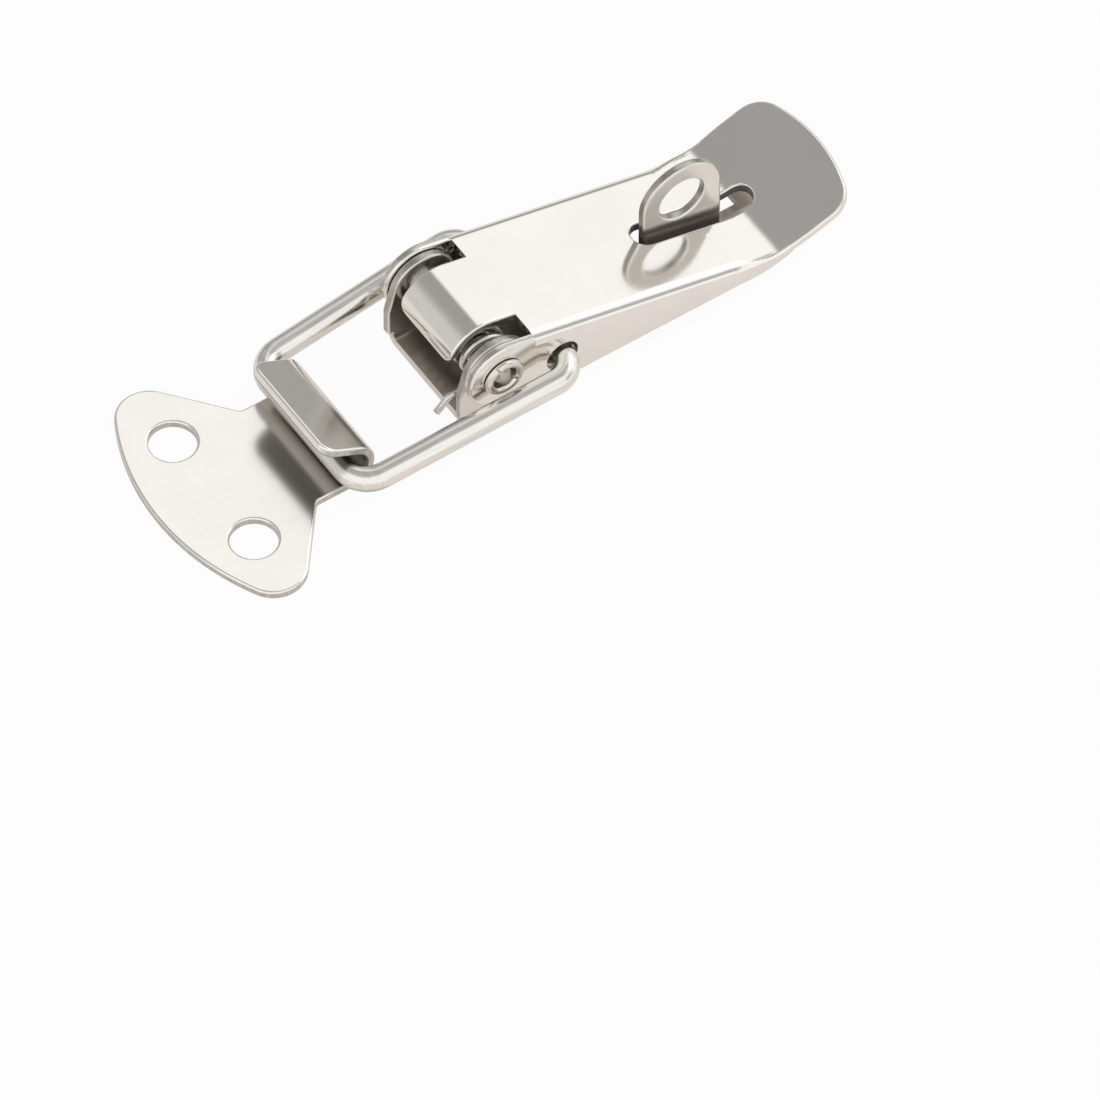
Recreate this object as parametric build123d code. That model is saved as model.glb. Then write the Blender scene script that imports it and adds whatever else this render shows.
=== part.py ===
"""Spring-loaded draw latch with a padlock eye.

Millimetres, +Z up. The origin is midway between the base's two screw holes, on the mounting face.
+X runs from the keeper to the thumb tab, and Y = 0 is the middle plane of the sheet pieces.
"""

import os
from math import acos, asin, atan2, cos, hypot, pi, radians, sin, sqrt, tan

from build123d import *

# sheet, fits and clearances
sheet = 0.9
side_clearance = 0.1
running_clearance = 0.05
edge_round = 0.25

# base plate
base_hole_spacing = 25.3
base_hole_d = 4.2
base_hole_margin = 1.7
base_ear_radius = 3.4
base_flange_height = 2.6
base_flange_reach = 15.5
base_floor_reach = 26.5
base_bend_radius = 1.3
base_ear_foot = 1.7
base_shoulder_reach = 4.0
base_shoulder_low = 1.9
base_shoulder_high = 4.7
eye_radius = 4.3
eye_hole_d = 4.8
eye_hole_height = 8.1
eye_to_rear_hole = 11.4
window_tail = 3.0
window_edge = 1.2

# pivot
pivot_height = 6.6
pivot_to_front_hole = 10.4
rivet_d = 3.2
rivet_bore = 2.4
rivet_bore_depth = 1.6
rivet_bore_cone = 0.6
rivet_roll_d = 4.1
rivet_roll_height = 0.5
rivet_head_d = 4.6
rivet_head_height = 0.4
rivet_split_width = 0.22
rivet_split_depth = 0.4
rivet_split_angles = (115, 330)

# lever
lever_width = 14.8
lever_roll_radius = 3.8
lever_ear_radius = 3.6
lever_slope = 14.25
lever_skirt_height = 1.65
lever_bend_radius = 1.2
lever_fade_reach = 25.6
notch_setback = 3.54
tongue_width = 8.2
tongue_end_angle = 172
tongue_corner = 1.1
slot_width = 2.7
slot_lead = 0.9
slot_tail = 3.6
tab_bend_reach = 29.9
tab_bend_radius = 6.0
tab_rise = 18.5
tab_reach = 39.6
tab_width = 15.2
tab_flare = 2.0
tab_flare_lead = 0.1
tab_fade_share = 0.6
tab_fade_corner = 0.34
tab_corner = 3.0
tab_end_radius = 17.0

# keeper plate
keeper_reach = 26.67
keeper_hole_spacing = 13.44
keeper_hole_d = 4.5
fan_front = 6.0
fan_front_radius = 25.0
fan_corner = 3.2
flank_angle = 51.0
neck_start = 7.1
neck_width = 12.6
neck_corner = 0.7
hook_roll_reach = 10.8
hook_roll_radius = 1.8
hook_lip_angle = 29.0
hook_lip_length = 4.4
hook_lip_corner = 1.5

# bail
bail_wire_d = 2.4
bail_arm_gap = 1.0
bail_taper = 1.05
bail_front_corner = 2.6
bail_rear_corner = 2.0
bail_hole_d = 3.4
bail_hole_reach = 6.5
bail_hole_drop = 1.65
bail_end_depth = 0.6
bail_bar_setback = 0.5
bail_bar_rise = 0.3

# torsion spring
spring_wire_d = 0.7
spring_clearance = 0.25
spring_turns = 8
spring_front_run = 4.06
spring_front_dip = 3.0
spring_kink = 41.0
spring_kink_radius = 0.9
spring_front_leg = 1.71
spring_rear_leg = 7.0
spring_tip_gap = 0.1

# places that several pieces share
front_hole_x = -base_hole_spacing / 2
rear_hole_x = base_hole_spacing / 2
pivot_x = front_hole_x - pivot_to_front_hole
eye_x = rear_hole_x - eye_to_rear_hole
keeper_x = pivot_x - keeper_reach
lever_half = lever_width / 2
lever_inner = lever_half - sheet
base_half = lever_inner - side_clearance
base_inner = base_half - sheet
slope = radians(lever_slope)
bail_x = pivot_x + bail_hole_reach
bail_z = pivot_height - bail_hole_drop
bail_rear_y = lever_half + bail_arm_gap + bail_wire_d / 2
bail_front_y = bail_rear_y - bail_taper
bar_x = keeper_x + hook_roll_reach - bail_bar_setback
bar_z = sheet + hook_roll_radius + bail_bar_rise
through = 2 * lever_width
tiny = 1e-6
sharp = cos(radians(30))


def top_z(x):
    """Height of the lever's outer top plane, which is tangent to the roll about the pivot."""
    return pivot_height + (lever_roll_radius - (x - pivot_x) * sin(slope)) / cos(slope)


def round_pivot(radius, angle):
    """Point in the XZ plane at a radius and an angle about the pivot."""
    return pivot_x + radius * cos(angle), pivot_height + radius * sin(angle)


def tangent_point(radius, spot, side):
    """Point where a line from a spot touches a circle about the pivot, on one side of it."""
    x, z = spot[0] - pivot_x, spot[1] - pivot_height
    return round_pivot(radius, atan2(z, x) + side * acos(radius / hypot(x, z)))


def side_face(points):
    """Closed polygon drawn in the XZ plane."""
    return make_face(Polyline(*[(x, 0, z) for x, z in points], close=True))


def curved_side(arc, points):
    """Closed face in the XZ plane: an arc through three places, then a polyline back to its start."""
    arc = [(x, 0, z) for x, z in arc]
    edges = ThreePointArc(*arc)
    edges += Polyline(arc[2], *[(x, 0, z) for x, z in points], arc[0])
    return make_face(edges)


def disc(x, z, radius):
    """Round face in the XZ plane."""
    return Plane((x, 0, z), x_dir=(1, 0, 0), z_dir=(0, -1, 0)) * Circle(radius)


def across(face, half_width):
    """Prism of a side face, from -half_width to +half_width in Y."""
    return extrude(face, half_width, dir=(0, 1, 0), both=True)


def block(x0, x1, y0, y1, z0, z1):
    """Box between two corners."""
    size = Box(x1 - x0, y1 - y0, z1 - z0)
    return Pos((x0 + x1) / 2, (y0 + y1) / 2, (z0 + z1) / 2) * size


def cross_hole(x, z, diameter):
    """Round cutter along Y."""
    return across(disc(x, z, diameter / 2), through)


def end_corners(strip, half_width, x, z):
    """Short edges at the two sides of a strip's end, which lies at a place in the XZ plane."""
    chosen = []
    for edge in strip.edges():
        spot = edge.center()
        at_side = abs(abs(spot.Y) - half_width) < tiny
        if at_side and hypot(spot.X - x, spot.Z - z) < sheet / 4:
            chosen.append(edge)
    return chosen


def tumbled(solid, chosen, upper=False):
    """Solid with its sharp edges rounded where their middles are chosen, all or the upper ones."""
    faces = solid.faces()
    edges = []
    for edge in solid.edges():
        spot = edge.position_at(0.5)
        if not chosen(spot):
            continue
        normals = [f.normal_at(spot) for f in faces if f.distance_to(spot) < tiny]
        if len(normals) != 2 or normals[0].dot(normals[1]) > sharp:
            continue
        if not upper or max(normal.Z for normal in normals) > sharp:
            edges.append(edge)
    return fillet(edges, edge_round)


def on_faces(y, outer):
    """True for a place on either face of a wall, and not within its thickness."""
    return abs(abs(abs(y) - outer + sheet / 2) - sheet / 2) < tiny


def ease(share):
    """Smooth step from 0 to 1."""
    share = min(1.0, max(0.0, share))
    return share * share * (3 - 2 * share)


def keeper_plate():
    """Fan plate with a flat neck that rolls up and back into the hook."""
    flank = radians(flank_angle)
    half_neck = neck_width / 2
    arc_x = fan_front_radius - fan_front
    # the flank leaves the neck's corner and meets the front arc at the corner that is rounded
    reach = neck_start - arc_x
    along = reach * cos(flank) - half_neck * sin(flank)
    run = along + sqrt(along**2 - reach**2 - half_neck**2 + fan_front_radius**2)
    tip = (neck_start - run * cos(flank), half_neck + run * sin(flank))
    edges = ThreePointArc((tip[0], -tip[1]), (-fan_front, 0), tip)
    edges += Polyline(
        tip,
        (neck_start, half_neck),
        (hook_roll_reach, half_neck),
        (hook_roll_reach, -half_neck),
        (neck_start, -half_neck),
        (tip[0], -tip[1]),
    )
    fan = make_face(edges)
    fan = fillet([v for v in fan.vertices() if abs(abs(v.Y) - tip[1]) < tiny], fan_corner)
    fan = fillet([v for v in fan.vertices() if abs(v.X - neck_start) < tiny], neck_corner)
    for y in (-keeper_hole_spacing / 2, keeper_hole_spacing / 2):
        fan -= Pos(0, y) * Circle(keeper_hole_d / 2)
    root_x = keeper_x + hook_roll_reach
    plate = Pos(keeper_x, 0, 0) * extrude(fan, sheet)
    plate = tumbled(plate, lambda spot: spot.X < root_x - tiny)
    hook = across(hook_section(), half_neck)
    lip = radians(180 - hook_lip_angle)
    tip_x, tip_z = hook_point(lip, hook_roll_radius + sheet / 2, hook_lip_length)
    hook = fillet(end_corners(hook, half_neck, tip_x, tip_z), hook_lip_corner)
    return plate + tumbled(hook, lambda spot: abs(spot.X - root_x) > tiny or spot.Z > sheet + tiny)


def hook_point(turn, radius, length=0.0):
    """Point of the hook after a turn of the roll at a radius, then a straight length."""
    x = keeper_x + hook_roll_reach + radius * sin(turn) + length * cos(turn)
    z = sheet + hook_roll_radius - radius * cos(turn) + length * sin(turn)
    return x, z


def hook_section():
    """Side face of the roll and the lip."""
    end = radians(180 - hook_lip_angle)
    stations = {"a": (0, 0), "b": (end / 2, 0), "c": (end, 0), "d": (end, hook_lip_length)}
    spots = {}
    for name, radius in (("out", hook_roll_radius + sheet), ("in", hook_roll_radius)):
        for part, (turn, length) in stations.items():
            x, z = hook_point(turn, radius, length)
            spots[name + part] = (x, 0, z)
    edges = ThreePointArc(spots["outa"], spots["outb"], spots["outc"])
    edges += Line(spots["outc"], spots["outd"])
    edges += Line(spots["outd"], spots["ind"])
    edges += Line(spots["ind"], spots["inc"])
    edges += ThreePointArc(spots["inc"], spots["inb"], spots["ina"])
    edges += Line(spots["ina"], spots["outa"])
    return make_face(edges)


def bail_loop():
    """One wire: rear ends turned in through the lever, two arms and the front bar."""
    length = hypot(bail_x - bar_x, bail_z - bar_z)
    end_y = lever_inner - bail_end_depth
    lie = Plane(
        (bail_x, 0, bail_z),
        x_dir=(bar_x - bail_x, 0, bar_z - bail_z),
        z_dir=(bar_z - bail_z, 0, bail_x - bar_x),
    )
    half = [(0, end_y), (0, bail_rear_y), (length, bail_front_y)]
    path = Wire(Polyline(*half, *[(x, -y) for x, y in reversed(half)]).edges())
    rear = [v for v in path.vertices() if abs(abs(v.Y) - bail_rear_y) < tiny]
    path = path.fillet_2d(bail_rear_corner, rear)
    front = [v for v in path.vertices() if abs(v.X - length) < tiny]
    path = path.fillet_2d(bail_front_corner, front)
    start = Plane((bail_x, end_y, bail_z), x_dir=(1, 0, 0), z_dir=(0, 1, 0))
    return sweep(start * Circle(bail_wire_d / 2), lie * path)


def lever():
    """Folded channel with ears, a curled tongue, a slot and a thumb tab."""
    notch_x = pivot_x + notch_setback
    fade_x = pivot_x + lever_fade_reach
    # channel: a rounded section drawn square to the top plane and run along it
    depth = pivot_height + lever_roll_radius
    on_top = Plane(
        (notch_x, 0, top_z(notch_x)), x_dir=(0, 1, 0), z_dir=(cos(slope), 0, -sin(slope))
    )
    outside = channel_section(lever_half, 0, depth, lever_bend_radius)
    inside = channel_section(lever_inner, sheet, depth, lever_bend_radius - sheet)
    section = on_top * (outside - inside)
    channel = extrude(section, (fade_x - notch_x) / cos(slope)) + extrude(section, -depth)
    channel &= block(notch_x, through, -lever_width, lever_width, lever_skirt_height, through)
    # ears: round about the pivot, with a skirt down to the wall's lower edge
    ear_top = lever_roll_radius - lever_ear_radius
    skirt = (notch_x, lever_skirt_height)
    low = tangent_point(lever_ear_radius, skirt, -1)
    high = round_pivot(lever_ear_radius, pi / 2 - slope)
    brow = (notch_x, top_z(notch_x) - ear_top / cos(slope))
    ear = curved_side([low, (pivot_x - lever_ear_radius, pivot_height), high], [brow, skirt])
    wall = extrude(Pos(0, lever_inner, 0) * ear, sheet, dir=(0, 1, 0))
    wall = tumbled(wall, lambda spot: spot.X < notch_x - tiny and on_faces(spot.Y, lever_half))
    ears = wall + mirror(wall, about=Plane.XZ)
    body = channel + ears + lever_tongue(notch_x) + lever_tail(fade_x)
    slot_x0 = eye_x - eye_radius - slot_lead
    slot_x1 = eye_x + eye_radius + slot_tail
    slot = SlotOverall(slot_x1 - slot_x0, slot_width)
    body -= Pos((slot_x0 + slot_x1) / 2, 0, 0) * extrude(slot, through)
    in_slot = slot_width / 2 + tiny
    body = tumbled(body, lambda spot: abs(spot.Y) < in_slot and spot.X > slot_x0 - tiny, upper=True)
    body -= cross_hole(pivot_x, pivot_height, rivet_d + 2 * running_clearance)
    return body - cross_hole(bail_x, bail_z, bail_hole_d)


def channel_section(half_width, drop, depth, radius):
    """Rectangle hanging below the top plane, its two upper corners rounded."""
    face = Pos(0, -drop - depth / 2) * Rectangle(2 * half_width, depth)
    return fillet([v for v in face.vertices() if abs(v.Y + drop) < tiny], radius)


def lever_tongue(notch_x):
    """Tongue that carries the top plane on and curls round the pivot."""
    begin = pi / 2 - slope
    end = radians(tongue_end_angle)
    half = tongue_width / 2
    spots = {}
    for name, radius in (("out", lever_roll_radius), ("in", lever_roll_radius - sheet)):
        for part, angle in (("a", begin), ("b", (begin + end) / 2), ("c", end)):
            x = pivot_x + radius * cos(angle)
            spots[name + part] = (x, 0, pivot_height + radius * sin(angle))
    root_out = (notch_x, 0, top_z(notch_x))
    root_in = (notch_x, 0, top_z(notch_x) - sheet / cos(slope))
    edges = Line(root_out, spots["outa"])
    edges += ThreePointArc(spots["outa"], spots["outb"], spots["outc"])
    edges += Line(spots["outc"], spots["inc"])
    edges += ThreePointArc(spots["inc"], spots["inb"], spots["ina"])
    edges += Line(spots["ina"], root_in)
    edges += Line(root_in, root_out)
    tongue = across(make_face(edges), half)
    tip_x = (spots["outc"][0] + spots["inc"][0]) / 2
    tip_z = (spots["outc"][2] + spots["inc"][2]) / 2
    tongue = fillet(end_corners(tongue, half, tip_x, tip_z), tongue_corner)
    return tumbled(tongue, lambda spot: spot.X < notch_x - tiny)


def lever_tail(fade_x):
    """Stretch where the walls and their rounded edges fade out, then the bend and the thumb tab."""
    bend_x = pivot_x + tab_bend_reach
    rise = radians(tab_rise)
    bend_run = tab_bend_radius * tan((slope + rise) / 2)
    ease_x = bend_x - bend_run * cos(slope)
    centre_x = ease_x + tab_bend_radius * sin(slope)
    centre_z = top_z(ease_x) + tab_bend_radius * cos(slope)
    # stations along the upper face: its place, its tilt and how far the walls have faded there
    straight = (ease_x - fade_x) / cos(slope)
    whole = straight + tab_bend_radius * (slope + rise)
    stations = []
    for share in (0, 0.5):
        x = fade_x + (ease_x - fade_x) * share
        stations.append((x, top_z(x), -slope, share * straight / whole))
    for share in (0, 0.25, 0.5, 0.75, 1):
        tilt = share * (slope + rise) - slope
        x = centre_x + tab_bend_radius * sin(tilt)
        z = centre_z - tab_bend_radius * cos(tilt)
        stations.append((x, z, tilt, (straight + tab_bend_radius * (tilt + slope)) / whole))
    root_half = tab_width / 2 - tab_flare_lead
    outer, inner = [], []
    for x, z, tilt, along in stations:
        place = Plane((x, 0, z), x_dir=(0, 1, 0), z_dir=(cos(tilt), 0, sin(tilt)))
        half = lever_half + (root_half - lever_half) * ease(along)
        # the corner stays a little rounder than the tab's own edge, so the two never run together
        faded = ease(along / tab_fade_share)
        corner = lever_bend_radius + (tab_fade_corner - lever_bend_radius) * faded
        wall = (z - lever_skirt_height) / cos(tilt)
        gone = ease((tilt + slope) / (slope + rise))
        deep = wall + (sheet - running_clearance - wall) * gone
        past_wall = 2 * wall
        outer.append(place * channel_section(half, 0, deep, corner))
        inner.append(place * channel_section(half - sheet, sheet, past_wall, lever_bend_radius - sheet))
    root = stations[-1][:3]
    return loft(outer) - loft(inner) + lever_tab(*root, root_half)


def lever_tab(x, z, tilt, root_half):
    """Flat thumb tab from the end of the bend: flared sides, round corners and a curved end."""
    reach = (pivot_x + tab_reach - x) / cos(tilt)
    half = tab_width / 2
    corner_x = reach - tab_end_radius + sqrt(tab_end_radius**2 - half**2)
    shape = Polyline(
        (corner_x, half),
        (tab_flare, half),
        (0, root_half),
        (0, -root_half),
        (tab_flare, -half),
        (corner_x, -half),
    )
    shape += ThreePointArc((corner_x, -half), (reach, 0), (corner_x, half))
    plan = make_face(shape)
    plan = fillet([v for v in plan.vertices() if abs(v.X - corner_x) < tiny], tab_corner)
    on_tab = Plane((x, 0, z), x_dir=(cos(tilt), 0, sin(tilt)), z_dir=(-sin(tilt), 0, cos(tilt)))
    tab = extrude(on_tab * plan, -sheet)
    root = on_tab.origin
    return tumbled(tab, lambda spot: (spot - root).dot(on_tab.x_dir) > tiny)


def base_plate():
    """Folded channel with round ears, low flanges, screw holes and the padlock eye."""
    front_x = pivot_x - base_ear_radius
    flange_x = pivot_x + base_flange_reach
    tall = pivot_height + base_ear_radius
    outside = Pos(0, tall / 2) * Rectangle(2 * base_half, tall)
    outside = fillet([v for v in outside.vertices() if abs(v.Y) < tiny], base_bend_radius)
    inside = Pos(0, tall / 2 + sheet) * Rectangle(2 * base_inner, tall)
    low = [v for v in inside.vertices() if abs(v.Y - sheet) < tiny]
    inside = fillet(low, base_bend_radius - sheet)
    across_x = Plane((front_x, 0, 0), x_dir=(0, 1, 0), z_dir=(1, 0, 0))
    channel = extrude(across_x * (outside - inside), flange_x - front_x)
    side = [
        (front_x, 0),
        (front_x, base_shoulder_high),
        (pivot_x + base_ear_radius, base_shoulder_high),
        (pivot_x + base_ear_radius, base_flange_height + base_ear_foot),
        (pivot_x + base_ear_radius + base_ear_foot, base_flange_height),
        (flange_x - base_flange_height, base_flange_height),
        (flange_x, sheet),
        (flange_x, 0),
    ]
    channel &= across(side_face(side), lever_width)
    # ears: round about the pivot, with a straight shoulder in front, a little ahead of the floor
    crest = (pivot_x - base_shoulder_reach, base_shoulder_high)
    over = [
        round_pivot(base_ear_radius, 0),
        round_pivot(base_ear_radius, pi / 2),
        tangent_point(base_ear_radius, crest, -1),
    ]
    foot = [(crest[0], base_shoulder_low), (pivot_x + base_ear_radius, base_shoulder_low)]
    wall = extrude(Pos(0, base_inner, 0) * curved_side(over, [crest, *foot]), sheet, dir=(0, 1, 0))
    wall = tumbled(wall, lambda spot: spot.Z > base_shoulder_low + tiny and on_faces(spot.Y, base_half))
    channel += wall + mirror(wall, about=Plane.XZ)
    margin = base_hole_d / 2 + base_hole_margin
    floor_half = base_half - base_bend_radius
    floor_x = pivot_x + base_floor_reach
    outline = make_face(
        Polyline(
            (flange_x - sheet, floor_half),
            (floor_x, floor_half),
            (rear_hole_x, margin),
            (rear_hole_x, -margin),
            (floor_x, -floor_half),
            (flange_x - sheet, -floor_half),
            close=True,
        )
    )
    outline += Pos(rear_hole_x, 0) * Circle(margin)
    floor = extrude(outline, sheet)
    # the eye is folded up out of the floor, so the floor has a window beside it and a little past it
    eye_x0, eye_x1 = eye_x - eye_radius, eye_x + eye_radius
    floor -= block(eye_x0, eye_x1, sheet / 2, lever_width, -sheet, 2 * sheet)
    floor -= block(eye_x0, eye_x1 + window_tail, window_edge, lever_width, -sheet, 2 * sheet)
    eye = disc(eye_x, eye_hole_height, eye_radius)
    stem = [(eye_x0, 0), (eye_x0, eye_hole_height), (eye_x1, eye_hole_height), (eye_x1, 0)]
    eye += side_face(stem)
    eye -= disc(eye_x, eye_hole_height, eye_hole_d / 2)
    eye = tumbled(across(eye, sheet / 2), lambda spot: spot.Z > sheet)
    base = channel + floor + eye
    for x in (front_hole_x, rear_hole_x):
        base -= Pos(x, 0, 0) * Cylinder(base_hole_d / 2, through)
    return base - cross_hole(pivot_x, pivot_height, rivet_d)


def pivot_rivet():
    """Semi-tubular rivet: flat far head, and a hollow near end rolled over and split as it was set."""
    seat = lever_half + side_clearance
    along = Plane((pivot_x, seat, pivot_height), x_dir=(1, 0, 0), z_dir=(0, -1, 0))
    near = 2 * seat
    profile = Polyline(
        (0, 0, -rivet_head_height),
        (rivet_head_d / 2 - rivet_head_height / 2, 0, -rivet_head_height),
        (rivet_head_d / 2, 0, -rivet_head_height / 2),
        (rivet_head_d / 2, 0, 0),
        (rivet_d / 2, 0, 0),
        (rivet_d / 2, 0, near),
        (rivet_roll_d / 2, 0, near),
    )
    crown = ((rivet_bore + rivet_roll_d) / 4, 0, near + rivet_roll_height)
    profile += ThreePointArc((rivet_roll_d / 2, 0, near), crown, (rivet_bore / 2, 0, near))
    profile += Polyline(
        (rivet_bore / 2, 0, near),
        (rivet_bore / 2, 0, near - rivet_bore_depth),
        (0, 0, near - rivet_bore_depth - rivet_bore_cone),
        (0, 0, -rivet_head_height),
    )
    body = revolve(make_face(profile), Axis.Z)
    half_split = rivet_split_width / 2
    split_z = near + rivet_roll_height - rivet_split_depth
    for turn in rivet_split_angles:
        body -= Rot(0, 0, turn) * block(0, rivet_roll_d, -half_split, half_split, split_z, through)
    return along * body


def torsion_spring():
    """Coil round the rivet, kinked front leg out past the base, rear leg up under the lever."""
    radius = rivet_d / 2 + spring_clearance + spring_wire_d / 2
    end_y = base_inner - side_clearance - spring_wire_d / 2
    # both legs leave the coil's underside: the rear one rises until its tip is close under the lever
    room = lever_roll_radius - sheet - spring_tip_gap - spring_wire_d / 2
    rise = asin(room / hypot(spring_rear_leg, radius)) + atan2(radius, spring_rear_leg) - slope
    dip = radians(spring_front_dip)
    winding = 2 * pi * spring_turns + rise - dip
    steps = round(winding / (pi / 2))
    drift = -2 * end_y / winding

    def on_coil(step):
        turned = winding * step / steps
        angle = 3 * pi / 2 + rise - turned
        flat = step in (0, steps)
        x, z = round_pivot(radius, angle)
        heading = Vector(radius * sin(angle), 0 if flat else drift, -radius * cos(angle))
        return Vector(x, end_y + drift * turned, z), heading.normalized()

    first, heading = on_coil(0)
    edges = [Line(first - heading * spring_rear_leg, first)]
    for step in range(steps):
        edges += biarc(*on_coil(step), *on_coil(step + 1))
    # the front leg runs straight out behind the ear and kinks down past it
    last, heading = on_coil(steps)
    bend = last + heading * spring_front_run
    leg_angle = pi + dip + radians(spring_kink)
    leg_heading = Vector(cos(leg_angle), 0, sin(leg_angle))
    turn = leg_heading - heading
    knee = bend + Vector(turn.Z, 0, -turn.X) * spring_kink_radius
    edges.append(Line(last, bend))
    edges.append(TangentArc(bend, knee, tangent=heading))
    edges.append(Line(knee, knee + leg_heading * spring_front_leg))
    path = Wire([e.edge() for e in edges])
    gap = least_gap(edges, radius)
    print(f"torsion_spring: {steps} quarter turns, least gap to itself {gap:.2f} mm")
    start = Plane(origin=path.position_at(0), z_dir=path.tangent_at(0))
    return sweep(start * Circle(spring_wire_d / 2), path)


def biarc(p0, t0, p1, t1):
    """Two arcs that join two points and leave and arrive along two unit headings."""
    chord = p1 - p0
    both = t0 + t1
    square = 2 * (1 - t0.dot(t1))
    reach = (sqrt(chord.dot(both) ** 2 + square * chord.dot(chord)) - chord.dot(both)) / square
    knee, heel = p0 + t0 * reach, p1 - t1 * reach
    middle = (knee + heel) * 0.5
    return [
        TangentArc(p0, middle, tangent=t0),
        TangentArc(middle, p1, tangent=(heel - knee).normalized()),
    ]


def least_gap(edges, radius):
    """Smallest gap between stretches of the spring over half a turn apart, on points."""
    marks = []
    travelled = 0.0
    for edge in edges:
        count = int(edge.length * 4 / spring_wire_d)
        for i in range(count):
            marks.append((travelled + edge.length * i / count, edge.position_at(i / count)))
        travelled += edge.length
    least = travelled
    for i, (at, spot) in enumerate(marks):
        for other_at, other in marks[i + 1 :]:
            if other_at - at > pi * radius:
                least = min(least, (other - spot).length)
    return least - spring_wire_d


os.makedirs("parts", exist_ok=True)
pieces = {
    "keeper_plate": keeper_plate(),
    "bail_loop": bail_loop(),
    "lever": lever(),
    "base_plate": base_plate(),
    "pivot_rivet": pivot_rivet(),
    "torsion_spring": torsion_spring(),
}
for name, piece in pieces.items():
    export_step(piece, f"parts/{name}.step")
    box = piece.bounding_box()
    print(f"{name}: {len(piece.solids())} solid, {piece.volume:.1f} mm3, {box.min} to {box.max}")
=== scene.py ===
# %% [markdown]
# # A spring-loaded draw latch
# A draw latch pulls two panels together: a wire loop holds on to the hook of a keeper plate, and a
# lever on a rivet draws the loop tight. This one is six pieces of polished steel, with a padlock eye.
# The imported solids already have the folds, rolls and holes of the real sheet metal, so they stay
# as they are. What is left for Blender is the wound spring, the finishes, the light and the camera.

from math import cos, pi, radians, sin

import bmesh
import bpy
from mathutils import Matrix, Vector


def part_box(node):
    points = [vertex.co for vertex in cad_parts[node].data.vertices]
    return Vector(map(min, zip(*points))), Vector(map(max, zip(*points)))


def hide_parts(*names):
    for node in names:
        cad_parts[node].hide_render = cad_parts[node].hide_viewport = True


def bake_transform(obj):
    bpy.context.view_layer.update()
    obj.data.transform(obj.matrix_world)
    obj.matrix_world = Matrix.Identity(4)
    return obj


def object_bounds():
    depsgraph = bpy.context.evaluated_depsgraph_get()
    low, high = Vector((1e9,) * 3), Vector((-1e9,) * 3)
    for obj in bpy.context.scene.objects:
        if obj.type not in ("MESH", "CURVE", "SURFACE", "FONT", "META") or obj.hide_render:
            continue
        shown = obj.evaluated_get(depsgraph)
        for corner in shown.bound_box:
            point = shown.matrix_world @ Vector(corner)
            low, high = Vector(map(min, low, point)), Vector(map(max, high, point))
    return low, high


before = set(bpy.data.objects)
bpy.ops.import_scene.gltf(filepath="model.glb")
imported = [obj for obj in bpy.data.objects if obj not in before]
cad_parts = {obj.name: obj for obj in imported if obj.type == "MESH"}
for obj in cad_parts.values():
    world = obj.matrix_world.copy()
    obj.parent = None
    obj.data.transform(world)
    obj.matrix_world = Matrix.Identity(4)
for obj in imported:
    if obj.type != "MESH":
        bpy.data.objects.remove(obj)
cad_low, cad_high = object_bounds()
mm = 0.001
rivet_low, rivet_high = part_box("pivot_rivet")
pivot = (rivet_low + rivet_high) / 2
print("pieces:", sorted(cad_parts))
print("pivot in mm:", [round(x / mm, 2) for x in pivot])
print("size in mm:", [round(x / mm, 2) for x in cad_high - cad_low])

# %% [markdown]
# ## Small helpers for node trees
# Every finish here is a node tree on Object coordinates, so the pattern is fixed to the metal and
# moves with it. A tree is easier to read when each line makes one node and names what feeds it,
# so `add_node` takes the settings and the links of a node in one call.


# %% Node helpers
def add_node(tree, kind, inputs=None, **settings):
    """Adds a node, gives it settings, and sets or links its inputs."""
    node = tree.nodes.new(kind)
    for name, value in settings.items():
        setattr(node, name, value)
    for name, value in (inputs or {}).items():
        if isinstance(value, bpy.types.NodeSocket):
            tree.links.new(value, node.inputs[name])
        else:
            node.inputs[name].default_value = value
    return node


def start_material(name):
    """New material with an empty tree and a Principled shader on its output."""
    material = bpy.data.materials.new(name)
    material.use_nodes = True
    tree = material.node_tree
    tree.nodes.clear()
    shader = add_node(tree, "ShaderNodeBsdfPrincipled")
    add_node(tree, "ShaderNodeOutputMaterial", {"Surface": shader.outputs["BSDF"]})
    return material, tree, shader


def stretched_noise(tree, scale, detail=2.0):
    """Noise on Object coordinates, with its own scale along each axis."""
    where = add_node(tree, "ShaderNodeTexCoord")
    mapped = add_node(tree, "ShaderNodeMapping", {"Vector": where.outputs["Object"], "Scale": scale})
    noise = add_node(tree, "ShaderNodeTexNoise", {"Vector": mapped.outputs["Vector"]})
    noise.inputs["Scale"].default_value = 1.0
    noise.inputs["Detail"].default_value = detail
    return noise.outputs["Fac"]


def spread(tree, value, low, high, to_low, to_high):
    """Maps a value from one range to another, held at both ends."""
    ranged = add_node(
        tree,
        "ShaderNodeMapRange",
        {"Value": value, "From Min": low, "From Max": high, "To Min": to_low, "To Max": to_high},
        interpolation_type="SMOOTHSTEP",
    )
    return ranged.outputs["Result"]


def contrast(tree, noise):
    """Noise with its middle range stretched to run from 0 to 1."""
    return spread(tree, noise, 0.35, 0.65, 0.0, 1.0)


def calculate(tree, operation, first, second=0.0):
    """One Math node."""
    node = tree.nodes.new("ShaderNodeMath")
    node.operation = operation
    for socket, value in zip(node.inputs, (first, second)):
        if isinstance(value, bpy.types.NodeSocket):
            tree.links.new(value, socket)
        else:
            socket.default_value = value
    return node.outputs["Value"]


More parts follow.
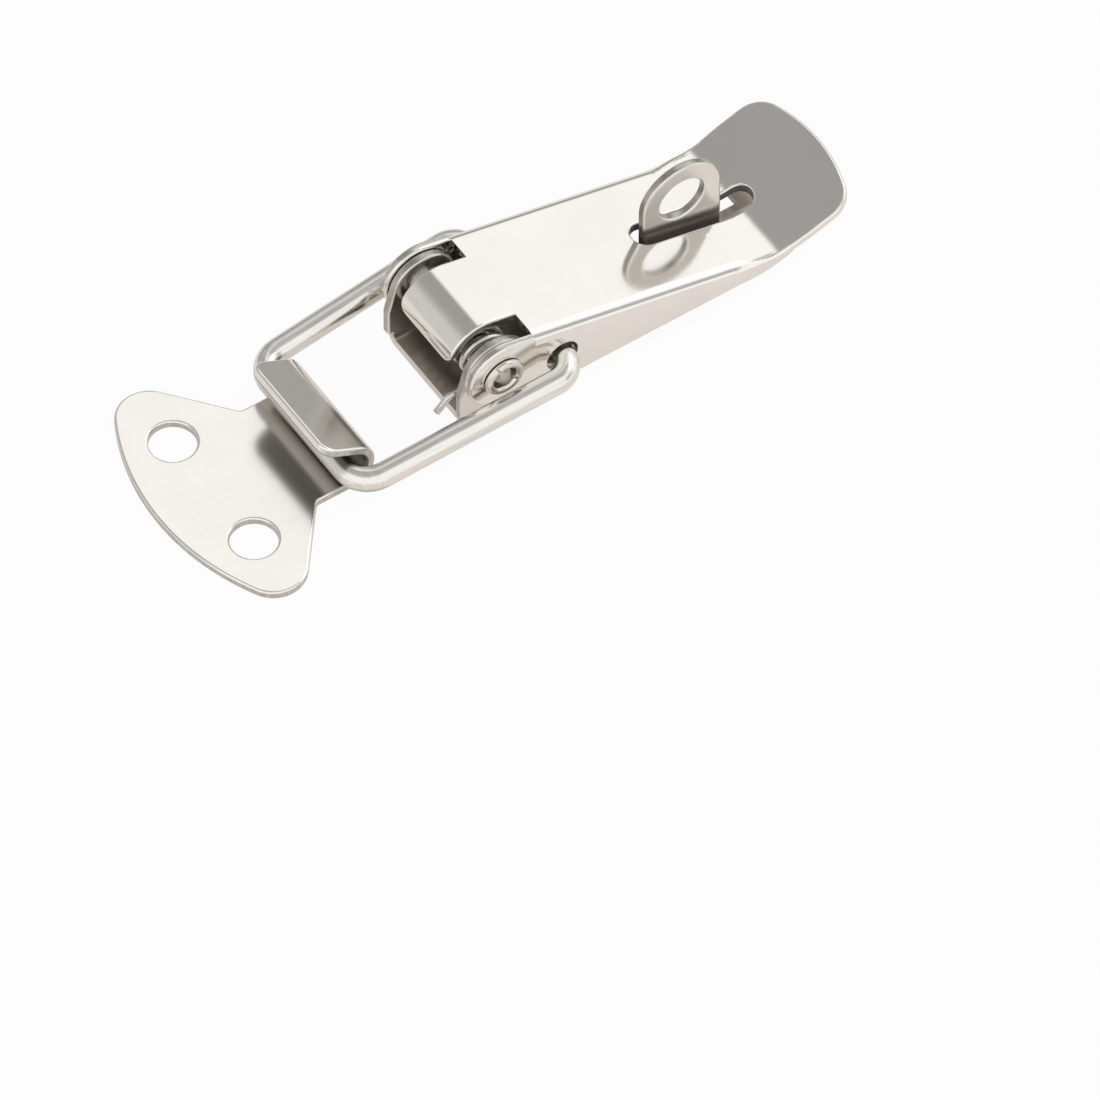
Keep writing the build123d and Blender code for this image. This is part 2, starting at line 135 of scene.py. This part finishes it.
def blend_colours(tree, factor, first, second):
    """Mixes two colours, each a value or a link."""
    node = tree.nodes.new("ShaderNodeMix")
    node.data_type = "RGBA"
    tree.links.new(factor, node.inputs["Factor"])
    for name, value in (("A", first), ("B", second)):
        socket = next(s for s in node.inputs if s.name == name and s.type == "RGBA")
        if isinstance(value, bpy.types.NodeSocket):
            tree.links.new(value, socket)
        else:
            socket.default_value = value
    return next(s for s in node.outputs if s.type == "RGBA")


def connect_metal(tree, shader, colour, rough, bump):
    """Makes a shader bare metal and links its colour, its roughness and its bumps."""
    shader.inputs["Metallic"].default_value = 1.0
    tree.links.new(colour, shader.inputs["Base Color"])
    tree.links.new(rough, shader.inputs["Roughness"])
    tree.links.new(bump.outputs["Normal"], shader.inputs["Normal"])


print("node helpers ready")

# %% [markdown]
# ## Where the sheet was cut
# Stamping leaves two kinds of surface. The faces are rolled smooth and take a polish, and the cut edges are
# torn by the punch, so they are rougher. Which is which follows from where a point lies and which way it
# faces, in the piece's own coordinates. The cut edges are also darker, partly as torn steel and partly as
# painted shade. Places along the latch are measured from the pivot or from the end of the hook, and places
# across it from its middle. They are written down once, before the masks that use them.

# %% Places on the sheet pieces
hook_depth = 2.9 * mm
lip_reach = 6 * mm
over_sheet = 1.2 * mm
wall_inside = 6.9 * mm
half_tongue = 4.3 * mm
half_slot = 1.4 * mm
slot_face = 1.38 * mm
half_stem = 0.6 * mm
lever_fall = 0.254
lever_roll = 3.9 * mm
hook_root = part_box("keeper_plate")[1].x - hook_depth
slot_front = pivot.x + 16 * mm
stem_front = pivot.x + 19 * mm
stem_back = pivot.x + 28.6 * mm
bend_front = pivot.x + 29.2 * mm
floor_shade_start = pivot.x + 30.9 * mm
lug_front = pivot.x + 32 * mm
tab_front = pivot.x + 32.3 * mm
print("hook root and slot front in mm:", round(hook_root / mm, 2), round(slot_front / mm, 2))

# %% [markdown]
# ## Masks
# A mask is a value from 0 to 1 over the surface of a piece. A vertex colour could hold it, but a few
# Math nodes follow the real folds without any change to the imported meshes. Each limit has a soft
# width, so that no finish ends in a hard line.


# %% Mask helpers
def place_and_facing(tree):
    """Object coordinates and the normal in the piece's own axes, split into X, Y and Z."""
    where = add_node(tree, "ShaderNodeTexCoord")
    place = add_node(tree, "ShaderNodeSeparateXYZ", {"Vector": where.outputs["Object"]})
    facing = add_node(tree, "ShaderNodeSeparateXYZ", {"Vector": where.outputs["Normal"]})
    return place.outputs, facing.outputs


def small(tree, value, limit, soft):
    """1 where the size of a value is under a limit, falling to 0 over a soft width."""
    return spread(tree, calculate(tree, "ABSOLUTE", value), limit, limit + soft, 1.0, 0.0)


def large(tree, value, limit, soft):
    """1 where the size of a value is over a limit, falling to 0 over a soft width."""
    return spread(tree, calculate(tree, "ABSOLUTE", value), limit - soft, limit, 0.0, 1.0)


def beyond(tree, value, limit, soft):
    """1 where a value is over a limit, falling to 0 over a soft width."""
    return spread(tree, value, limit - soft, limit, 0.0, 1.0)


def both(tree, first, second):
    """Product of two masks."""
    return calculate(tree, "MULTIPLY", first, second)


def either(tree, first, second):
    """Larger of two masks."""
    return calculate(tree, "MAXIMUM", first, second)


print("mask helpers ready")

# %% [markdown]
# ## Cut edges
# Each cut mask is 1 on a torn edge. On flat sheet these are the surfaces that stand upright, and on
# a folded wall they are the rims that don't face sideways.


# %% Cut edge masks
def keeper_cuts(tree):
    """Outline and holes of the fan, and the sides of the neck and the hook."""
    place, facing = place_and_facing(tree)
    on_hook = beyond(tree, place["X"], hook_root, 0.3 * mm)
    on_fan = calculate(tree, "SUBTRACT", 1.0, on_hook)
    upright = small(tree, facing["Z"], 0.25, 0.3)
    return either(tree, both(tree, on_fan, upright), large(tree, facing["Y"], 0.9, 0.3))


def lever_cuts(tree):
    """Rims of the walls, the walls of the slot and the sides of the tongue."""
    place, facing = place_and_facing(tree)
    upright = small(tree, facing["Z"], 0.35, 0.25)
    rims = both(tree, large(tree, place["Y"], wall_inside, 0.15 * mm), small(tree, facing["Y"], 0.3, 0.12))
    before_tab = spread(tree, place["X"], tab_front, tab_front + 0.6 * mm, 1.0, 0.0)
    before_bend = spread(tree, place["X"], bend_front, bend_front + 1.2 * mm, 1.0, 0.0)
    rims = both(tree, rims, before_bend)
    past_front = beyond(tree, place["X"], slot_front, mm)
    in_slot = both(tree, small(tree, place["Y"], half_slot, 0.1 * mm), past_front)
    opened = both(tree, both(tree, in_slot, before_tab), upright)
    sides = both(tree, small(tree, place["Y"], half_tongue, 0.1 * mm), large(tree, facing["Y"], 0.9, 0.3))
    return either(tree, either(tree, rims, opened), sides)


def base_cuts(tree):
    """Rims of the ears, the flanges and the padlock eye, which all stand up from the floor."""
    place, facing = place_and_facing(tree)
    return both(tree, beyond(tree, place["Z"], over_sheet, 0.2 * mm), small(tree, facing["Y"], 0.3, 0.25))


print("cut edge masks ready")

# %% [markdown]
# ## Recesses
# Each recess mask is 1 in a hollow where shade falls, such as the inside of the hook. There the colour is
# darkened as painted shade and the roughness is raised. One finish with a mask keeps each piece in a single
# material.


# %% Recess masks
def keeper_recess_shade(tree):
    """Painted shade inside the hook: the underside of its lip and the hollow of its roll."""
    place, facing = place_and_facing(tree)
    over_neck = beyond(tree, place["Z"], over_sheet, 0.2 * mm)
    downward = spread(tree, facing["Z"], 0.0, -0.3, 0.0, 1.0)
    past_tip = beyond(tree, place["X"], hook_root - lip_reach, mm)
    under_lip = both(tree, both(tree, over_neck, downward), past_tip)
    inward = spread(tree, facing["X"], -0.15, -0.45, 0.0, 1.0)
    in_roll = both(tree, beyond(tree, place["X"], hook_root + 0.6 * mm, 0.4 * mm), inward)
    return either(tree, under_lip, in_roll)


def lever_recess_shade(tree):
    """Painted shade on the walls of the slot and, less strongly, on the underside."""
    place, facing = place_and_facing(tree)
    past_front = beyond(tree, place["X"], slot_front, mm)
    slot_wall = both(tree, small(tree, place["Y"], slot_face, 0.05 * mm), small(tree, facing["Z"], 0.3, 0.3))
    underside = spread(tree, facing["Z"], -0.3, -0.6, 0.0, 0.2)
    return either(tree, both(tree, past_front, slot_wall), underside)


def base_recess_shade(tree):
    """Painted shade on the stem of the padlock eye below the closed lever, and on a patch of the floor
    behind it.
    """
    place, _ = place_and_facing(tree)
    along = calculate(tree, "SUBTRACT", place["X"], pivot.x)
    height = calculate(tree, "SUBTRACT", place["Z"], pivot.z)
    slanted = calculate(tree, "ADD", height, calculate(tree, "MULTIPLY", along, lever_fall))
    under_lever = spread(tree, slanted, lever_roll + 0.4 * mm, lever_roll - 0.7 * mm, 0.0, 1.0)
    past_front = beyond(tree, place["X"], stem_front, mm)
    before_tail = spread(tree, place["X"], stem_back, stem_back + 0.3 * mm, 1.0, 0.0)
    along_stem = both(tree, past_front, before_tail)
    stem = both(tree, under_lever, both(tree, small(tree, place["Y"], half_stem, 0.1 * mm), along_stem))
    far_side = beyond(tree, place["Y"], half_stem, 0.5 * mm)
    past_stem = beyond(tree, place["X"], floor_shade_start, 0.7 * mm)
    before_lug = spread(tree, place["X"], lug_front, lug_front + 2 * mm, 0.7, 0.0)
    floor_end = both(tree, both(tree, past_stem, before_lug), far_side)
    return either(tree, stem, floor_end)


print("recess masks ready")

# %% [markdown]
# ## Polished sheet
# The lever, base and keeper are stamped from sheet, folded and polished. The faces are close to a
# mirror with a slight haze, faint cloudy patches and a very fine rolling grain along the strip.
# Edges are tumbled, so they carry a thin bright rim: partly a real highlight from the rounded normals, and
# partly a painted highlight, a lighter colour on the rim. A Bevel node rounds the normals at the edges, and
# the angle between that rounded normal and the true one gives a mask for the rim.

# %% Rims with a painted highlight
rim_radius = 0.1 * mm
rim_starts = 0.995
rim_full = 0.86


def edge_mask(tree):
    """Rounded normal, and a mask that is 1 on the rim of an edge, where a highlight is painted."""
    rounded = add_node(tree, "ShaderNodeBevel", {"Radius": rim_radius}, samples=6)
    true = add_node(tree, "ShaderNodeNewGeometry")
    alike = tree.nodes.new("ShaderNodeVectorMath")
    alike.operation = "DOT_PRODUCT"
    tree.links.new(rounded.outputs["Normal"], alike.inputs[0])
    tree.links.new(true.outputs["True Normal"], alike.inputs[1])
    return rounded.outputs["Normal"], spread(tree, alike.outputs["Value"], rim_starts, rim_full, 0.0, 1.0)


def scaled(colour, factor):
    """Colour made lighter or darker, with an alpha of 1."""
    return tuple(min(1.0, channel * factor) for channel in colour[:3]) + (1.0,)


print("rim radius in mm:", round(rim_radius / mm, 2))

# %% Sheet finish
rim_highlight_gain = 1.08
cut_shade = 0.58
cut_swing = 0.12
cut_haze = 0.3
recess_haze = 0.4
haze_swing = 0.008
cloud_scale = (160, 160, 160)
tear_scale = (2600, 2600, 700)
grain_scale = (90, 2600, 2600)
swell_scale = (110, 110, 110)
swell_strength = 0.05
swell_height = 0.3 * mm
scratch_strength = 0.015
scratch_height = 0.01 * mm


def polished_sheet(name, light, deep, haze, cuts, recess, shade_factor):
    """Polished sheet: cloudy tint, rolling grain along X, rougher cut edges darkened partly as painted
    shade, rims lightened as a painted highlight, and recesses darkened as painted shade.
    """
    material, tree, shader = start_material(name)
    normal, rim_lit = edge_mask(tree)
    cut = cuts(tree)
    shaded = recess(tree)
    patches = stretched_noise(tree, cloud_scale, 3.0)
    tint = blend_colours(tree, contrast(tree, patches), deep, light)
    tears = contrast(tree, stretched_noise(tree, tear_scale, 3.0))
    # Cut edges: rough punched steel, darkened partly as painted shade.
    torn_and_shaded = blend_colours(tree, tears, scaled(deep, cut_shade), scaled(deep, cut_shade + cut_swing))
    colour = blend_colours(tree, cut, tint, torn_and_shaded)
    # Painted highlight: the rim of each edge takes a lighter colour.
    colour = blend_colours(tree, rim_lit, colour, scaled(light, rim_highlight_gain))
    fine = stretched_noise(tree, grain_scale, 3.0)
    hazy = spread(tree, fine, 0.3, 0.7, haze - haze_swing, haze + haze_swing)
    rough = calculate(tree, "ADD", hazy, both(tree, cut, cut_haze - haze))
    # Painted shade: the recesses take a darker colour, and their roughness is raised.
    colour = blend_colours(tree, shaded, colour, scaled(deep, shade_factor))
    rough = calculate(tree, "ADD", rough, both(tree, shaded, recess_haze - haze))
    waves = stretched_noise(tree, swell_scale, 1.0)
    swell = add_node(
        tree,
        "ShaderNodeBump",
        {"Height": waves, "Normal": normal, "Strength": swell_strength, "Distance": swell_height},
    )
    swollen = swell.outputs["Normal"]
    scratch = add_node(
        tree,
        "ShaderNodeBump",
        {"Height": fine, "Normal": swollen, "Strength": scratch_strength, "Distance": scratch_height},
    )
    connect_metal(tree, shader, colour, rough, scratch)
    print("finish:", name)
    return material


lever_finish = polished_sheet(
    "polished_lever_sheet",
    light=(0.88, 0.848, 0.802, 1),
    deep=(0.855, 0.823, 0.777, 1),
    haze=0.12,
    cuts=lever_cuts,
    recess=lever_recess_shade,
    shade_factor=0.3,
)
base_finish = polished_sheet(
    "polished_base_sheet",
    light=(0.80, 0.765, 0.72, 1),
    deep=(0.74, 0.705, 0.66, 1),
    haze=0.26,
    cuts=base_cuts,
    recess=base_recess_shade,
    shade_factor=0.26,
)
keeper_finish = polished_sheet(
    "polished_keeper_sheet",
    light=(0.91, 0.877, 0.832, 1),
    deep=(0.885, 0.852, 0.807, 1),
    haze=0.2,
    cuts=keeper_cuts,
    recess=keeper_recess_shade,
    shade_factor=0.2,
)

# %% [markdown]
# ## Drawn wire
# Wire is pulled through a die, which leaves faint streaks along its length. The loop's arms run
# along X and its front bar along Y, so two stretched noises are mixed by where the point lies.
# Inside the hook the underside of the bar is darkened as painted shade, as the hook itself is.

# %% Wire finish
arm_scale = (60, 2200, 2200)
bar_scale = (2200, 60, 2200)
hook_shade = 0.6
bar_width = 2.6 * mm
bar_fade = 1.5 * mm
draw_strength = 0.15
draw_height = 0.01 * mm


def drawn_wire(name, light, deep, haze, bar_end):
    """Drawn wire with streaks along X, and along Y on the front bar, whose underside inside the hook is
    darkened as painted shade.
    """
    material, tree, shader = start_material(name)
    place, facing = place_and_facing(tree)
    on_bar = spread(tree, place["X"], bar_end + bar_fade, bar_end, 0.0, 1.0)
    arm_streak = stretched_noise(tree, arm_scale, 3.0)
    bar_streak = stretched_noise(tree, bar_scale, 3.0)
    kept = both(tree, bar_streak, on_bar)
    rest = both(tree, arm_streak, calculate(tree, "SUBTRACT", 1.0, on_bar))
    streak = calculate(tree, "ADD", kept, rest)
    colour = blend_colours(tree, contrast(tree, streak), deep, light)
    # Painted shade: the underside of the bar inside the hook is darkened.
    in_hook = both(tree, on_bar, spread(tree, facing["Z"], 0.1, -0.4, 0.0, 1.0))
    colour = blend_colours(tree, in_hook, colour, scaled(deep, hook_shade))
    rough = spread(tree, streak, 0.3, 0.7, haze - 0.04, haze + 0.05)
    bump = add_node(
        tree, "ShaderNodeBump", {"Height": streak, "Strength": draw_strength, "Distance": draw_height}
    )
    connect_metal(tree, shader, colour, rough, bump)
    print("finish:", name)
    return material


bail_finish = drawn_wire(
    "drawn_bail_wire",
    light=(0.86, 0.83, 0.79, 1),
    deep=(0.78, 0.75, 0.71, 1),
    haze=0.2,
    bar_end=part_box("bail_loop")[0].x + bar_width,
)

# %% [markdown]
# ## Rolled rivet
# The rivet was pressed and its end rolled over, so its marks run in rings about its own axis. A
# noise over the distance from that axis gives the rings, and a second one breaks them up.

# %% Rivet finish
ring_scale = 5200.0
ring_cloud_scale = (700, 700, 700)
ring_strength = 0.2
ring_height = 0.02 * mm


def rolled_rivet(name, light, deep, haze, axis_x, axis_z):
    """Pressed steel with fine rings about an axis along Y."""
    material, tree, shader = start_material(name)
    normal, rim_lit = edge_mask(tree)
    where = add_node(tree, "ShaderNodeTexCoord")
    centred = add_node(
        tree,
        "ShaderNodeMapping",
        {"Vector": where.outputs["Object"], "Location": (-axis_x, 0, -axis_z), "Scale": (1, 0, 1)},
    )
    out = tree.nodes.new("ShaderNodeVectorMath")
    out.operation = "LENGTH"
    tree.links.new(centred.outputs["Vector"], out.inputs[0])
    rings = add_node(tree, "ShaderNodeTexNoise", noise_dimensions="1D")
    rings.inputs["Scale"].default_value = ring_scale
    tree.links.new(out.outputs["Value"], rings.inputs["W"])
    cloud = stretched_noise(tree, ring_cloud_scale, 3.0)
    marks = calculate(tree, "MULTIPLY", rings.outputs["Fac"], cloud)
    tint = blend_colours(tree, spread(tree, marks, 0.12, 0.4, 0.0, 1.0), deep, light)
    # Painted highlight: the rims of the rivet take the light colour.
    colour = blend_colours(tree, rim_lit, tint, light)
    rough = spread(tree, marks, 0.1, 0.45, haze - 0.04, haze + 0.06)
    bump = add_node(
        tree,
        "ShaderNodeBump",
        {"Height": marks, "Normal": normal, "Strength": ring_strength, "Distance": ring_height},
    )
    connect_metal(tree, shader, colour, rough, bump)
    print("finish:", name)
    return material


rivet_finish = rolled_rivet(
    "rolled_rivet_steel",
    light=(0.80, 0.77, 0.725, 1),
    deep=(0.68, 0.65, 0.605, 1),
    haze=0.2,
    axis_x=pivot.x,
    axis_z=pivot.z,
)

# %% [markdown]
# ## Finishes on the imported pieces
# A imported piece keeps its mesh. It only takes a new material in its first slot.

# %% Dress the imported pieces
finishes = {
    "lever": lever_finish,
    "base_plate": base_finish,
    "keeper_plate": keeper_finish,
    "bail_loop": bail_finish,
    "pivot_rivet": rivet_finish,
}
for node, finish in finishes.items():
    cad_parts[node].material_slots[0].material = finish
    print("dressed:", node)

# %% [markdown]
# ## The torsion spring
# One hard steel wire is wound round the rivet. Its rear leg lies under the lever, and its front leg
# runs out behind the near ear and kinks down past it. A curve with a bevel would do, but the spring
# has to twist when the lever opens, so it is a mesh: a disc is extruded along the rear leg, spun
# round the pivot with a small step sideways for each step of the spin, extruded again behind the
# ear, spun a little for the kink, and extruded once more as the front leg.

# %% Wind the spring
wire_radius = 0.35 * mm
coil_radius = 2.2 * mm
coil_half_width = 5.05 * mm
rear_rise = radians(22.7)
front_dip = radians(3.0)
coil_turns = 8
rear_leg = 7.0 * mm
front_run = 4.06 * mm
kink_radius = 0.9 * mm
kink_turn = radians(41.0)
front_leg = 1.71 * mm
wire_sides = 16
steps_per_turn = 56
end_bevel = 0.08 * mm


def heading_at(angle):
    """Unit heading in the side plane, and the direction square to it, on its left."""
    return Vector((cos(angle), 0, sin(angle))), Vector((-sin(angle), 0, cos(angle)))


def faces_of(made):
    """Faces among what an operator made."""
    return [x for x in made if isinstance(x, bmesh.types.BMFace)]


def pushed(mesh, faces, shift, hollow=True):
    """Extrudes an end face along a shift and returns the new end; a hollow wire loses the old one."""
    made = bmesh.ops.extrude_face_region(mesh, geom=faces)["geom"]
    if hollow:
        bmesh.ops.delete(mesh, geom=faces, context="FACES_ONLY")
    moved = [x for x in made if isinstance(x, bmesh.types.BMVert)]
    bmesh.ops.translate(mesh, verts=moved, vec=shift)
    return faces_of(made)


def turned_end(mesh, faces, centre, axis, angle, sideways):
    """Spins an end face about an axis, a little sideways in all, and returns the new end."""
    steps = round(angle / (2 * pi) * steps_per_turn)
    step_aside = (0, sideways / steps, 0)
    made = bmesh.ops.spin(
        mesh, geom=faces, cent=centre, axis=axis, dvec=step_aside, angle=angle, steps=steps, use_merge=False
    )
    bmesh.ops.delete(mesh, geom=faces, context="FACES_ONLY")
    return faces_of(made["geom_last"])


spring_mesh = bmesh.new()
heading, square = heading_at(pi + rear_rise)
coil_head = Vector((pivot.x, coil_half_width, pivot.z))
first = coil_head + square * coil_radius
turned = heading.to_track_quat("Z", "X").to_matrix().to_4x4()
placed = Matrix.Translation(first - heading * rear_leg) @ turned
bmesh.ops.create_circle(spring_mesh, cap_ends=True, segments=wire_sides, radius=wire_radius, matrix=placed)
end = pushed(spring_mesh, list(spring_mesh.faces), heading * rear_leg, hollow=False)
coil_sweep = 2 * pi * coil_turns + rear_rise - front_dip
end = turned_end(spring_mesh, end, coil_head, (0, 1, 0), coil_sweep, -2 * coil_half_width)
heading, square = heading_at(pi + front_dip)
coil_foot = Vector((pivot.x, -coil_half_width, pivot.z))
bend = coil_foot + square * coil_radius + heading * front_run
end = pushed(spring_mesh, end, heading * front_run)
end = turned_end(spring_mesh, end, bend + square * kink_radius, (0, -1, 0), kink_turn, 0.0)
heading, _ = heading_at(pi + front_dip + kink_turn)
pushed(spring_mesh, end, heading * front_leg)
bmesh.ops.remove_doubles(spring_mesh, verts=spring_mesh.verts, dist=wire_radius / 100)
bmesh.ops.recalc_face_normals(spring_mesh, faces=spring_mesh.faces)
print("spring faces:", len(spring_mesh.faces))

# %% [markdown]
# ## Cut ends
# The wire was cropped, so the rims of its two ends get a small bevel. The spring takes the packed coil's
# place.

# %% Finish the spring
mottle_scale = (900, 2400, 900)


def spring_steel(name, light, deep, haze):
    """Hard drawn wire: fine mottled streaks on a darker steel."""
    material, tree, shader = start_material(name)
    fine = stretched_noise(tree, mottle_scale, 3.0)
    colour = blend_colours(tree, contrast(tree, fine), deep, light)
    rough = spread(tree, fine, 0.3, 0.7, haze - 0.04, haze + 0.06)
    bump = add_node(
        tree, "ShaderNodeBump", {"Height": fine, "Strength": draw_strength, "Distance": draw_height}
    )
    connect_metal(tree, shader, colour, rough, bump)
    print("finish:", name)
    return material


ends = [f for f in spring_mesh.faces if len(f.verts) == wire_sides]
bmesh.ops.bevel(
    spring_mesh,
    geom=list({e for f in ends for e in f.edges}),
    offset=end_bevel,
    segments=2,
    profile=0.5,
    affect="EDGES",
    material=-1,
)
for face in spring_mesh.faces:
    face.smooth = len(face.verts) < wire_sides
spring_data = bpy.data.meshes.new("wound_spring")
spring_mesh.to_mesh(spring_data)
spring_mesh.free()
spring_finish = spring_steel(
    "drawn_spring_steel", light=(0.74, 0.715, 0.68, 1), deep=(0.62, 0.60, 0.565, 1), haze=0.22
)
spring_data.materials.append(spring_finish)
spring = bpy.data.objects.new("wound_spring", spring_data)
bpy.context.scene.collection.objects.link(spring)
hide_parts("torsion_spring")
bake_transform(spring)
print("spring ends:", len(ends), "faces:", len(spring_data.polygons))

# %% [markdown]
# ## White floor
# The latch lies on white card, which shows in the polished metal too. A plain diffuse card would
# come out grey at this level of light, so the camera and the mirrored rays see a share of white
# glow, and the rest is diffuse and keeps the latch's shadow.

# %% Floor
floor_half = 3.0
floor_grain_scale = (40, 40, 40)
camera_share = 0.94
mirror_share = 0.5
mirror_tint = (0.95, 0.87, 0.83, 1)
card_deep = (0.90, 0.90, 0.90, 1)
card_light = (0.93, 0.93, 0.93, 1)
floor_mesh = bmesh.new()
bmesh.ops.create_grid(floor_mesh, x_segments=4, y_segments=4, size=floor_half)
floor_data = bpy.data.meshes.new("studio_floor")
floor_mesh.to_mesh(floor_data)
floor_mesh.free()
floor = bpy.data.objects.new("studio_floor", floor_data)
bpy.context.scene.collection.objects.link(floor)
floor_paint = bpy.data.materials.new("white_floor")
floor_paint.use_nodes = True
tree = floor_paint.node_tree
tree.nodes.clear()
grain = stretched_noise(tree, floor_grain_scale, 2.0)
card_tint = blend_colours(tree, grain, card_deep, card_light)
matt = add_node(tree, "ShaderNodeBsdfDiffuse", {"Color": card_tint})
rays = add_node(tree, "ShaderNodeLightPath")
mirrored = either(tree, rays.outputs["Is Glossy Ray"], rays.outputs["Is Transmission Ray"])
warm = blend_colours(tree, mirrored, (1, 1, 1, 1), mirror_tint)
glow = add_node(tree, "ShaderNodeEmission", {"Color": warm, "Strength": 1.0})
shown = both(tree, rays.outputs["Is Camera Ray"], camera_share)
share = either(tree, shown, both(tree, mirrored, mirror_share))
mixed = add_node(tree, "ShaderNodeMixShader", {"Fac": share})
tree.links.new(matt.outputs["BSDF"], mixed.inputs[1])
tree.links.new(glow.outputs["Emission"], mixed.inputs[2])
add_node(tree, "ShaderNodeOutputMaterial", {"Surface": mixed.outputs["Shader"]})
floor_data.materials.append(floor_paint)
print("floor:", floor.name)

# %% [markdown]
# ## White room
# Polished steel shows its surroundings more than its own colour, so the room is part of the
# likeness: bright white, with grey zones overhead, to the left, at the back, low round the horizon
# and in front on the right. Cards round the latch could do this, but the world sets the level of
# each zone by direction, without more objects in the scene. The camera itself sees white.

# %% World
sky_level = 1.08
overhead_level = 0.38
left_level = 0.67
horizon_level = 0.36
back_level = 0.5
strip_level = 0.5
front_level = 0.5


def zone(tree, level, mask, zone_level):
    """Level that turns into a zone's own level where the mask is 1."""
    return calculate(tree, "ADD", level, both(tree, mask, calculate(tree, "SUBTRACT", zone_level, level)))


def within(tree, value, outside, inside):
    """1 past the inner limit, 0 before the outer one and a smooth step between them."""
    return spread(tree, value, outside, inside, 0.0, 1.0)


world = bpy.data.worlds.new("white_studio")
bpy.context.scene.world = world
world.use_nodes = True
tree = world.node_tree
tree.nodes.clear()
toward = add_node(tree, "ShaderNodeTexCoord")
axes = add_node(tree, "ShaderNodeSeparateXYZ", {"Vector": toward.outputs["Generated"]})
to_right, to_back, upward = (axes.outputs[axis] for axis in "XYZ")
behind = within(tree, to_back, 0.1, 0.35)
overhead = both(tree, within(tree, to_right, 0.26, 0.1), within(tree, upward, 0.3, 0.5))
left_wall = both(tree, within(tree, to_right, -0.15, -0.75), within(tree, upward, 0.9, 0.5))
horizon = both(tree, within(tree, to_right, -0.4, -0.1), within(tree, upward, 0.44, 0.24))
back_wall = within(tree, to_back, 0.57, 0.8)
strip = both(tree, within(tree, to_back, 0.46, 0.34), within(tree, to_back, -0.42, -0.26))
strip = both(tree, strip, within(tree, upward, 0.83, 0.89))
front = both(tree, within(tree, to_back, -0.4, -0.52), within(tree, upward, 0.7, 0.58))
front = both(tree, front, within(tree, upward, 0.2, 0.35))
front = both(tree, front, within(tree, to_right, 0.42, 0.55))
level = zone(tree, sky_level, both(tree, behind, overhead), overhead_level)
level = zone(tree, level, both(tree, behind, left_wall), left_level)
level = zone(tree, level, back_wall, back_level)
level = zone(tree, level, strip, strip_level)
level = zone(tree, level, both(tree, behind, horizon), horizon_level)
level = zone(tree, level, front, front_level)
rays = add_node(tree, "ShaderNodeLightPath")
strength = either(tree, level, rays.outputs["Is Camera Ray"])
sky = add_node(tree, "ShaderNodeBackground", {"Color": (1, 1, 1, 1), "Strength": strength})
add_node(tree, "ShaderNodeOutputWorld", {"Surface": sky.outputs["Background"]})
print("world:", world.name)

# %% [markdown]
# ## Softbox
# One weak area lamp on the right draws a bright line along the lever's fold. A smaller lamp would
# give a harder and thinner line.


# %% Lamp
def soft_lamp(name, spot, aim, size, power):
    """Square area lamp that looks at a point."""
    lamp = bpy.data.lights.new(name, "AREA")
    lamp.size = size
    lamp.energy = power
    holder = bpy.data.objects.new(name, lamp)
    holder.location = spot
    holder.rotation_euler = (Vector(aim) - Vector(spot)).to_track_quat("-Z", "Y").to_euler()
    bpy.context.scene.collection.objects.link(holder)
    print("lamp:", name)


softbox_spot = (0.57, 0.04, 0.55)
softbox_size = 0.45
softbox_power = 0.25
middle = (cad_low + cad_high) / 2
soft_lamp("right_softbox", softbox_spot, middle, softbox_size, softbox_power)

# %% [markdown]
# ## Camera
# The photograph is taken from the front left and well above, with a long lens, so its lines are
# almost parallel. The camera looks at a point just above the floor, in front of the latch, which
# leaves the latch in the upper left of the frame without any lens shift.

# %% Camera
camera_azimuth = radians(-33.84)
camera_elevation = radians(52.16)
camera_distance = 1803.25 * mm
frame_middle = Vector((-29.98, -25.38, 5.0)) * mm
sensor_width = 36.0
focal_length = 654.5
camera_data = bpy.data.cameras.new("long_lens")
camera_data.sensor_width = sensor_width
camera_data.lens = focal_length
camera = bpy.data.objects.new("long_lens", camera_data)
back = Vector(
    (
        sin(camera_azimuth) * cos(camera_elevation),
        -cos(camera_azimuth) * cos(camera_elevation),
        sin(camera_elevation),
    )
)
camera.location = frame_middle + back * camera_distance
camera.rotation_mode = "QUATERNION"
camera.rotation_quaternion = (-back).to_track_quat("-Z", "Y")
bpy.context.scene.collection.objects.link(camera)
bpy.context.scene.camera = camera
bpy.context.scene.view_settings.view_transform = "Standard"
print("camera at:", [round(x, 3) for x in camera.location])
